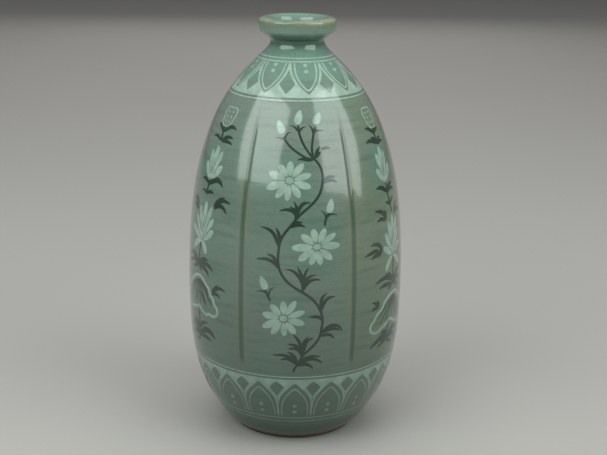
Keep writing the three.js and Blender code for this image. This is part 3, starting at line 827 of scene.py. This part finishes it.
# strokes are (width, place, place...), and petals are (width, start, tip)
lotus = {
    "pod": (
        (-3.4, 229.6), (-5, 232), (-6, 236), (-6.3, 239.6), (-5.2, 241), (0.4, 241.3), (5.8, 241),
        (6.8, 239.6), (6.4, 236), (5.2, 232), (4, 229.8), (0.4, 229.2),
    ),
    "podDots": ((-2.4, 238.6), (2.8, 238.6), (-2.2, 235.4), (2.6, 235.4), (-1.9, 232.3), (2.2, 232.3)),
    "sprig": (
        (1.6, (-0.4, 229.2), (0, 225), (1.6, 219.4)),
        (2.4, (-0.2, 225.6), (-3.4, 228.2), (-5.4, 229.4), (-8.4, 229.6)),
        (3, (-0.2, 225.2), (3, 227.8), (7, 229.6), (12, 228.2)),
        (2, (1.2, 219.4), (-3, 221.6), (-6, 222), (-9.6, 220.8)),
        (2.6, (1.4, 219.6), (4.6, 222), (8, 223), (11.6, 222.2)),
        (2.2, (1.6, 219.2), (5, 219.9), (8.4, 219.8), (12, 218.6)),
    ),
    "small": (
        (4.4, (-2, 194), (-7.8, 204.5)), (4.4, (1, 194), (8, 204)), (4.2, (-1.5, 197), (-4.7, 213)),
        (4.2, (0.7, 197), (5.7, 213)), (4.6, (-0.3, 198), (0.7, 216.2)), (4.4, (-0.5, 193.3), (-0.3, 207)),
    ),
    "calyx": (
        (1.6, (-0.9, 193), (-1.2, 188), (-2, 183.4)),
        (2.2, (-1, 190.2), (-4, 192.2), (-6.6, 192.8), (-9.4, 191.8)),
        (3.6, (-1.2, 189.6), (3, 193), (7, 194), (11.4, 189.8)),
        (1.8, (-1.8, 183.2), (-4.4, 184.8), (-7, 184.6)), (2.2, (-1.8, 183), (1, 185), (5, 184.6)),
        (2.6, (6.6, 174.8), (7.6, 178), (9.6, 181), (14, 183.8)),
        (2.8, (6.6, 174.8), (9, 179), (12.4, 181.4), (18.2, 180)),
        (2.8, (6.4, 174.4), (8.6, 176.6), (12, 177.4), (16, 172.8)),
        (3, (-8.6, 170.6), (-11, 174), (-14, 176.4), (-18, 176)),
        (2.8, (-8.6, 170), (-12, 172), (-17, 173)), (2.4, (-9, 171), (-11, 177), (-13.6, 180.6)),
    ),
    "large": (
        (4, (-3.5, 150.5), (-14, 158)), (4.2, (-0.5, 150.5), (7.4, 159.2)),
        (3.8, (-3.5, 153), (-9.5, 166.5)), (3.8, (-0.5, 153), (7, 167.6)), (3.8, (-3, 156), (-6, 173.6)),
        (3.8, (-0.5, 156), (5, 175.4)), (4, (-1.5, 158), (-0.3, 178)), (3.4, (-2.2, 149.8), (-2.4, 166)),
        (4, (-2.6, 149.6), (-6.4, 148), (-11.5, 141.4)), (4, (-2.4, 149.6), (0, 147), (1.8, 140.8)),
    ),
    "cluster": (
        (1.6, (-3, 149), (-4, 142), (-4, 132)), (2.6, (-4, 134), (-1, 136.4), (2, 137.4), (4.4, 136.6)),
        (3, (-3.4, 132.6), (1, 134), (4.6, 133.6), (8.4, 130.2)),
        (2.8, (-3.4, 131.6), (0, 130.8), (3, 129), (5, 125.6)), (2.2, (-4, 132), (-3, 129.6), (-1.6, 127)),
        (3, (-4.4, 133.4), (-9, 136.6), (-14, 137), (-20, 134)),
        (3, (-4.4, 132.4), (-9, 133.6), (-14, 132), (-19, 129)),
        (2.6, (-4.4, 131.6), (-8, 130), (-12, 127.4)),
    ),
    "leafRim": (
        (-3, 124), (0.6, 121.6), (3.4, 118.4), (5.4, 116.4), (6, 113), (8.4, 110.4), (9.2, 106.8),
        (11.2, 104), (11.6, 101), (10, 98.2), (7, 97.4), (4.4, 97.8), (2.6, 96.6), (0, 97.6), (-2.4, 99.4),
        (-4.4, 101.2), (-6.4, 99.6), (-9.4, 98.8), (-12, 97.6), (-16, 96), (-19.6, 97.4), (-21, 101),
        (-20, 105.6), (-19.4, 109.4), (-16.6, 112.6), (-15, 116), (-11.6, 119.4), (-8, 122.4),
    ),
    "veins": (
        (1.8, (-3.4, 121), (-1, 113), (3.6, 101.6)), (1.8, (-3.4, 121), (1.6, 114.6), (7.4, 104)),
        (1.8, (-3.6, 121), (-3.4, 112), (-2.4, 103)), (1.8, (-3.8, 121), (-7, 113), (-9, 102.6)),
        (1.6, (-4, 121), (-10, 114), (-15.4, 103)), (1.4, (-3.4, 121), (2.2, 116.6), (5, 111)),
        (1.4, (-4, 121), (-9, 117.6), (-14, 112)), (1.4, (-2.4, 112), (0.6, 106), (1.4, 102)),
        (1.4, (-5, 113), (-6, 107), (-5.6, 103)),
    ),
    "foot": (
        (1.6, (-4.4, 98), (-4.6, 90), (-4.4, 78)), (2.4, (-4.2, 84), (-2, 88.4), (3.8, 90.4)),
        (3.8, (-4, 79.4), (1, 84.6), (4.4, 85), (9.4, 80.4)),
        (2.6, (-4, 78.6), (0, 79.4), (3.4, 78.8), (6.4, 77.2)), (2.2, (-4, 78.4), (-2, 82.6), (1, 83)),
        (3.4, (-4.6, 79), (-8, 83.6), (-12, 85.4), (-16, 84)), (2.8, (-4.6, 78.6), (-9, 79.6), (-14, 77.6)),
        (2, (-4.4, 78), (-6, 75.6), (-9, 74)), (2.4, (-4.8, 84), (-7.4, 88), (-11, 89.6)),
        (2.2, (8, 113.6), (9, 117.4), (12, 121.8)),
        (2.6, (8, 113.6), (11, 119), (13.4, 119.8), (17.2, 118.4)),
        (2.2, (8, 113.4), (10.6, 115), (13.8, 112)),
    ),
}
# the right panel was drawn freer, and lower from the first blossom down
rightLotus = {
    "pod": (
        (-2, 228.6), (-3.4, 231.6), (-4.4, 236), (-4.4, 239.6), (-3.4, 240.8), (1.4, 241.2), (6.4, 240.8),
        (7.4, 239.4), (7.2, 236), (6, 231.6), (4.6, 228.8), (1.4, 228.2),
    ),
    "podDots": ((-0.8, 238.2), (3.8, 238.2), (-0.7, 235), (3.7, 235), (-0.4, 231.9), (3.2, 231.9)),
    "sprig": (
        (1.6, (1, 228.6), (0.2, 224), (-0.8, 217.4)),
        (2.8, (0.4, 224.4), (-3, 227.2), (-5.6, 228.4), (-8.8, 228.6)),
        (2.4, (0.4, 224.8), (3, 226.8), (7.6, 227)),
        (2.8, (-0.6, 218), (-4.4, 220), (-7.6, 220.6), (-11.6, 219.6)),
        (2, (-0.4, 219), (-2.4, 221.6), (-5.6, 222.2)), (2.2, (-0.4, 217.8), (3, 221), (6.6, 221.4)),
        (2.4, (-0.6, 217.4), (4, 218.8), (8.8, 218.2)),
    ),
    "small": (
        (4.4, (-1.6, 192.6), (-7.6, 201.8)), (4.4, (1, 192.6), (7, 203.4)), (4.2, (-1.2, 196), (-5, 211.8)),
        (4.2, (0.6, 196), (4.2, 212.6)), (4.6, (-0.3, 197), (0.1, 216)), (4.4, (-0.4, 191.2), (-0.2, 206)),
    ),
    "calyx": (
        (1.6, (0, 191), (0, 185), (1, 178), (2.6, 170)),
        (3, (-0.2, 184.6), (-3.6, 187.6), (-6.6, 189), (-10.6, 188.8)),
        (3, (0.2, 184.4), (3, 188.6), (7.2, 190)), (2.4, (0.4, 184.6), (4.4, 186.4), (8.6, 185)),
        (2.2, (1.6, 175.4), (-1, 177.4), (-3.6, 178)), (2.2, (1.6, 175.6), (4, 179), (6.4, 179.8)),
        (2.8, (-4.6, 165.8), (-5.4, 169.6), (-8.4, 172.8), (-13.6, 173.8)),
        (2.6, (-4.8, 165.6), (-7.6, 167.6), (-12.4, 166.4)), (2.2, (-4.6, 166), (-4.2, 170), (-5.6, 173.6)),
        (2.8, (5.4, 168), (8, 173), (13.6, 175.4)), (2.8, (5.6, 168), (10, 170), (16.6, 167)),
    ),
    "large": (
        (4.4, (0.4, 140.4), (-7.4, 147)), (4, (3.4, 141), (11, 147)), (4, (0.2, 143), (-5.6, 156.8)),
        (3.8, (3.2, 144), (9.4, 157)), (3.8, (0.6, 146), (-2.2, 164.4)), (3.8, (2.8, 147), (7.4, 165.6)),
        (4, (1.4, 148), (2.5, 168)), (3.4, (1.8, 139.6), (1.6, 156)),
        (3.8, (1.2, 138.6), (-1.6, 136.4), (-5.4, 129.4)), (3.8, (2.2, 138.6), (5.4, 136.6), (9.6, 130.4)),
    ),
    "cluster": (
        (1.6, (2.4, 138), (2, 130), (1, 119)), (3, (0.8, 120.4), (-4, 124.4), (-8, 124.8), (-14.4, 122.6)),
        (3, (0.6, 118.6), (-4.6, 119.4), (-7.6, 119.4), (-11.4, 118)),
        (2.6, (0.8, 121.6), (-2, 125.8), (-6.4, 126.8)), (2.2, (0.8, 118.4), (-1, 116.6), (-3.6, 115.6)),
        (3, (1.4, 120.6), (6, 125), (12.4, 127)), (3, (1.4, 119.6), (6, 121), (11.6, 120)),
        (2.6, (1.2, 118.8), (4.6, 117.6), (8, 115)),
        (2.8, (-9.8, 143), (-9.6, 147.4), (-12, 150.6), (-18, 151)),
        (2.8, (-10, 143), (-13, 146.4), (-16.6, 146), (-22, 144.2)),
        (2.6, (-9.8, 142.8), (-13, 143.4), (-17.4, 141.4)),
    ),
    "leafRim": (
        (3.5, 111.6), (-1, 110.6), (-4.6, 108.2), (-7, 105.4), (-8, 102.8), (-11, 100.6), (-13, 98.4),
        (-14.4, 95.6), (-16.4, 93), (-17, 90), (-15.4, 87), (-12, 85.9), (-8.6, 87.6), (-5.4, 89.2),
        (-2.4, 90.4), (0.4, 92), (3, 90.2), (6.4, 88.2), (10, 86.6), (13.6, 86.4), (16.4, 88.6), (17.4, 92),
        (16, 95.4), (15.6, 98.6), (13.4, 101.6), (12.6, 105), (9.8, 107.4), (7.4, 110.2),
    ),
    "veins": (
        (1.8, (3, 109.4), (-2, 102.6), (-7.6, 95.4)), (1.8, (3, 109.4), (-4, 104.4), (-11.6, 95)),
        (1.8, (3, 109.4), (-0.4, 101.6), (-3.6, 94)), (1.8, (3, 109.4), (2.4, 101), (1.6, 95.4)),
        (1.8, (3, 109.4), (5.6, 101.6), (7.4, 92)), (1.6, (3, 109.4), (8, 102.4), (12, 92.6)),
        (1.4, (-2, 102), (-6, 97), (-10, 90.6)), (1.4, (1.4, 104), (-2, 98), (-5.6, 92)),
        (1.4, (4, 104), (6.6, 98), (9.6, 91.4)),
    ),
    "foot": (
        (1.6, (-1.4, 91.4), (-2, 86), (-2.4, 77)),
        (3.4, (-2.4, 77.6), (-7, 79.8), (-11, 78.8), (-16.4, 74.4)),
        (2.6, (-2.4, 79.6), (-5.4, 82.4), (-9.6, 81.6)), (2.2, (-2.2, 82), (-4.4, 84.6), (-8, 84)),
        (2.6, (-2.4, 77), (-6, 76.4), (-10.6, 73.6)), (3.4, (-2, 78), (2, 82.4), (6, 83.6), (10, 81.6)),
        (3, (-2, 77.4), (2.6, 79.4), (8, 77)), (2.2, (-2, 77), (0.6, 75), (4, 73.4)),
        (2.2, (-11.4, 104.6), (-13, 107.8), (-16.4, 109.6)),
        (2.2, (-11.4, 104.8), (-11.6, 108), (-12.6, 110.4)),
        (2.4, (-11.2, 104.4), (-13.6, 105), (-16.6, 103.4)),
    ),
}
lotusPanels = {"right": (59, rightLotus), "rear": (180, lotus), "left": (-55.9, lotus)}
lotusLines = {
    "podWidth": 0.9,
    "podDot": 1.4,
    "rimWidth": 2.1,
    # strokes are drawn this much fuller than their written width
    "fuller": 1.14,
    # glaze between two petals: its width, its start and end along them, and how many strokes it lies above
    "gapWidth": 0.8,
    "gapSpan": (0.1, 0.84),
    "gapLift": 30,
}


def lotusSpray(side, panel, spray):
    name = side + "_lotus_"

    def outlined(edge, width):
        drawn = Inlay(panel)
        drawn.ribbon(drawnCurve((*edge, edge[0])), width, "stem", True)
        return drawn

    def strokes(part, drawing, material, slot, taper):
        drawn = Inlay(panel)
        for number, (width, *places) in enumerate(drawing):
            stalk = taper == "leaf" and number == 0
            drawn.stroke(places, width * lotusLines["fuller"], "stem" if stalk else taper)
        drawn.finish(name + part + "_inlay", material, slot, name + part)

    pod = outlined(spray["pod"], lotusLines["podWidth"])
    for spot in spray["podDots"]:
        pod.dot(spot, lotusLines["podDot"], lotusLines["podDot"])
    pod.finish(name + "pod_inlay", whiteSlip, "white_slip", name + "pod")
    for part in ("sprig", "calyx", "cluster", "foot"):
        strokes(part, spray[part], blackSlip, "black_slip", "leaf")
    gaps = Inlay(panel)
    gaps.strokes = lotusLines["gapLift"]
    low, high = lotusLines["gapSpan"]
    for part in ("small", "large"):
        strokes("blossom_" + part, spray[part], whiteSlip, "white_slip", "lotusPetal")
        # glaze shows between neighbouring petals, where they are straight
        petals = [places for width, *places in spray[part] if len(places) == 2]
        petals.sort(key=lambda places: places[1])
        for left, right in zip(petals, petals[1:]):
            start = (place(*left[0]) + place(*right[0])) / 2
            reach = (place(*left[1]) + place(*right[1])) / 2 - start
            gaps.ribbon(straight(start + reach * low, start + reach * high), lotusLines["gapWidth"], "leaf")
    gaps.finish(name + "petal_gaps", celadon, "celadon_glaze")
    leaf = outlined(spray["leafRim"], lotusLines["rimWidth"])
    leaf.finish(name + "leaf_inlay", whiteSlip, "white_slip", name + "leaf")
    veins = Inlay(panel)
    for width, *places in spray["veins"]:
        veins.stroke(places, width)
    veins.finish(name + "leaf_veins", blackSlip, "black_slip")


for side, (panel, spray) in lotusPanels.items():
    lotusSpray(side, panel, spray)
print("lotus sprays made")

# outer and inner run from a petal's foot to its tip, as (angle from its middle, height)
# lines are (height, width)
shoulder = {
    "petals": 9,
    "turn": 9.6,
    "lines": ((274.6, 1), (272.5, 1), (249.4, 0.9)),
    "bottom": 251.2,
    "outer": ((-20, 272), (-19.2, 269.4), (-15.6, 264), (-9.6, 258.4), (-4.2, 254.6), (0, 252.5)),
    "inner": ((-14.4, 272), (-13, 267.4), (-9.4, 262.2), (-4.6, 258), (0, 255.6)),
    "outerWidth": 1.7,
    "innerWidth": 1.2,
    "kite": ((10.9, 260), (20, 253.2)),
    "dots": (270.4, 266.8),
    "dotSize": 2.8,
    "columns": 720,
    "strips": 4,
}
base = {
    "petals": 18,
    "turn": -0.3,
    "lines": ((61.3, 0.9), (25, 1.1), (21.5, 0.8)),
    "top": 59.3,
    "outer": ((-10, 27), (-9.9, 36), (-9.4, 41.6), (-8, 46.4), (-5.6, 50.4), (-2.6, 54.4), (0, 56.6)),
    "inner": ((-7.9, 27), (-7.7, 35), (-6.6, 41), (-4.4, 46), (-2, 49.6), (0, 51.4)),
    "outerWidth": 1.5,
    "innerWidth": 0.9,
    "wedge": ((6, 52.4), (10, 45)),
    "wedgeTop": ((6, 52.8), (7, 54.2), (8.5, 56.2), (10, 57.5)),
    "wedgeStart": 5.6,
    "dots": (36.6, 30.9),
    "dotSize": 3.1,
    "columns": 1080,
    "strips": 3,
    "wedgeColumns": 24,
    "wedgeStrips": 2,
}
bandStep = 0.2


# angle within one repeat, measured from the petal's middle and the same on both sides
def within(angle, band):
    repeat = 360 / band["petals"]
    return np.abs((angle - band["turn"] + repeat / 2) % repeat - repeat / 2)


# height of the petal's outer line round the band
def petalEdge(band):
    curve = smoothCurve(band["outer"], bandStep)
    return lambda angle: np.interp(within(angle, band), -curve[::-1, 0], curve[::-1, 1])


# up one side of the petal and down the other
def petalLine(drawn, half, width):
    path = [*half, *((-angle, height) for angle, height in reversed(half[:-1]))]
    drawn.stroke(path, width, "stem")


def finishBand(drawn, band, name):
    for petal in range(band["petals"]):
        drawn.panel = band["turn"] + petal * 360 / band["petals"]
        petalLine(drawn, band["outer"], band["outerWidth"])
        petalLine(drawn, band["inner"], band["innerWidth"])
        for height in band["dots"]:
            drawn.dot((0, height), band["dotSize"], band["dotSize"])
    for height, width in band["lines"]:
        drawn.ring(height, width)
    drawn.finish(name + "_band_inlay", whiteSlip, "white_slip", name + "_lotus_band")


# white from the lowest line up to the petals, with a kite of bare wall between each two
def shoulderBand():
    petal = petalEdge(shoulder)
    side, bottom = shoulder["kite"]

    def upper(angle):
        kite = np.interp(within(angle, shoulder), (side[0], bottom[0]), (side[1], bottom[1]), left=math.inf)
        return np.minimum(petal(angle), kite)

    drawn = Inlay(0)
    drawn.field(0, 360, level(shoulder["bottom"]), upper, shoulder["columns"], shoulder["strips"])
    finishBand(drawn, shoulder, "shoulder")


# white from the petals up to the top line, and a white wedge low between each two petals
def baseBand():
    petal = petalEdge(base)
    wedgeTop = smoothCurve(base["wedgeTop"], bandStep)
    side, bottom = base["wedge"]

    def lower(angle):
        split = np.interp(within(angle, base), wedgeTop[:, 0], wedgeTop[:, 1], left=0)
        return np.maximum(split, petal(angle))

    def wedge(angle):
        slant = np.interp(within(angle, base), (side[0], bottom[0]), (side[1], bottom[1]))
        return np.maximum(slant, petal(angle))

    drawn = Inlay(0)
    drawn.field(0, 360, lower, level(base["top"]), base["columns"], base["strips"])
    repeat = 360 / base["petals"]
    for number in range(base["petals"]):
        start = base["turn"] + number * repeat + base["wedgeStart"]
        end = base["turn"] + (number + 1) * repeat - base["wedgeStart"]
        drawn.field(start, end, petal, wedge, base["wedgeColumns"], base["wedgeStrips"])
    finishBand(drawn, base, "base")


shoulderBand()
baseBand()
print("bands made")

# camera fitted to the photo, 607 by 455
shot = {
    "side": 5.86,
    "back": 822.5,
    "height": 391.3,
    "pitch": 16.53,
    "roll": 0.72,
    "turn": -1.3,
    "lens": 69.55,
    "sensor": 36,
    "nearest": 0.01,
    "farthest": 100,
}


def makeCamera():
    data = bpy.data.cameras.new("camera")
    data.lens = shot["lens"]
    data.sensor_width = shot["sensor"]
    data.clip_start = shot["nearest"]
    data.clip_end = shot["farthest"]
    camera = addObject("camera", data)
    spot = Matrix.Translation(Vector((shot["side"], -shot["back"], shot["height"])) * mm)
    tilt = Matrix.Rotation(math.radians(90 - shot["pitch"]), 4, "X")
    roll = Matrix.Rotation(math.radians(shot["roll"]), 4, "Z")
    camera.matrix_world = Matrix.Rotation(math.radians(shot["turn"]), 4, "Z") @ spot @ tilt @ roll
    bpy.context.scene.camera = camera


# lengths here are metres, and powers are watts
studio = {
    "floor": (160, 157, 153),
    "floorShade": 0.94,
    "floorRoughness": 0.9,
    "floorSize": 14,
    "world": (205, 208, 210),
    "worldStrength": 0.22,
    "windowTint": (0.9, 1, 0.97),
    # a window leans in at the top; its foot is this far out and high
    "windows": {
        "leftWindow": {"turn": -50, "out": 1.6, "foot": 0.5, "lean": 45, "roll": 6, "width": 1.2,
                       "height": 1.2, "power": 15.5},
        "rightWindow": {"turn": 59, "out": 1.6, "foot": 0.34, "lean": 27, "roll": -12, "width": 1.15,
                        "height": 1.45, "power": 16.8},
    },
    # plain square lights facing the vase, unseen in the glaze, which mirrors the windows alone
    "panels": {
        "ceilingLight": {"spot": (0, 0, 2.6), "size": 2.4, "power": 48},
        "backLight": {"spot": (0, 2.2, 1.1), "size": 1.6, "power": 8},
    },
}


# an area light whose back faces along way
def areaLight(name, width, height, power, spot, way, roll=0, tint=(1, 1, 1)):
    data = bpy.data.lights.new(name, "AREA")
    data.shape = "RECTANGLE"
    data.size = width
    data.size_y = height
    data.energy = power
    data.color = tint
    light = addObject(name, data)
    light.location = spot
    light.rotation_mode = "QUATERNION"
    light.rotation_quaternion = way.to_track_quat("Z", "Y") @ Quaternion((0, 0, 1), math.radians(roll))
    return light


def makeFloor():
    bm = bmesh.new()
    bmesh.ops.create_grid(bm, x_segments=1, y_segments=1, size=studio["floorSize"] / 2)
    mesh = bpy.data.meshes.new("floor")
    bm.to_mesh(mesh)
    bm.free()
    floor = addObject("floor", mesh)
    shader = Shader("floorPaper")
    colour = linear(studio["floor"])
    darker = [part * studio["floorShade"] for part in colour]
    shade = shader.noise(*noises["floor"]).mix(colour, darker)
    shader.fill(shader.surface, {"Base Color": shade, "Roughness": studio["floorRoughness"]})
    mesh.materials.append(shader.material)


def makeStudio():
    world = bpy.data.worlds.new("studio")
    world.use_nodes = True
    background = world.node_tree.nodes["Background"]
    background.inputs["Color"].default_value = [*linear(studio["world"]), 1]
    background.inputs["Strength"].default_value = studio["worldStrength"]
    bpy.context.scene.world = world
    up = Vector((0, 0, 1))
    for name, window in studio["windows"].items():
        turn, lean = math.radians(window["turn"]), math.radians(window["lean"])
        out = Vector((math.sin(turn), -math.cos(turn), 0))
        way = out * math.cos(lean) + up * math.sin(lean)
        rise = up * math.cos(lean) - out * math.sin(lean)
        spot = out * window["out"] + up * window["foot"] + rise * window["height"] / 2
        areaLight(name, window["width"], window["height"], window["power"], spot, way, window["roll"],
                  studio["windowTint"])
    for name, panel in studio["panels"].items():
        spot = Vector(panel["spot"])
        light = areaLight(name, panel["size"], panel["size"], panel["power"], spot, spot)
        light.visible_glossy = False


makeCamera()
makeFloor()
makeStudio()
bpy.context.scene.view_settings.view_transform = "Standard"
print("camera and studio made")
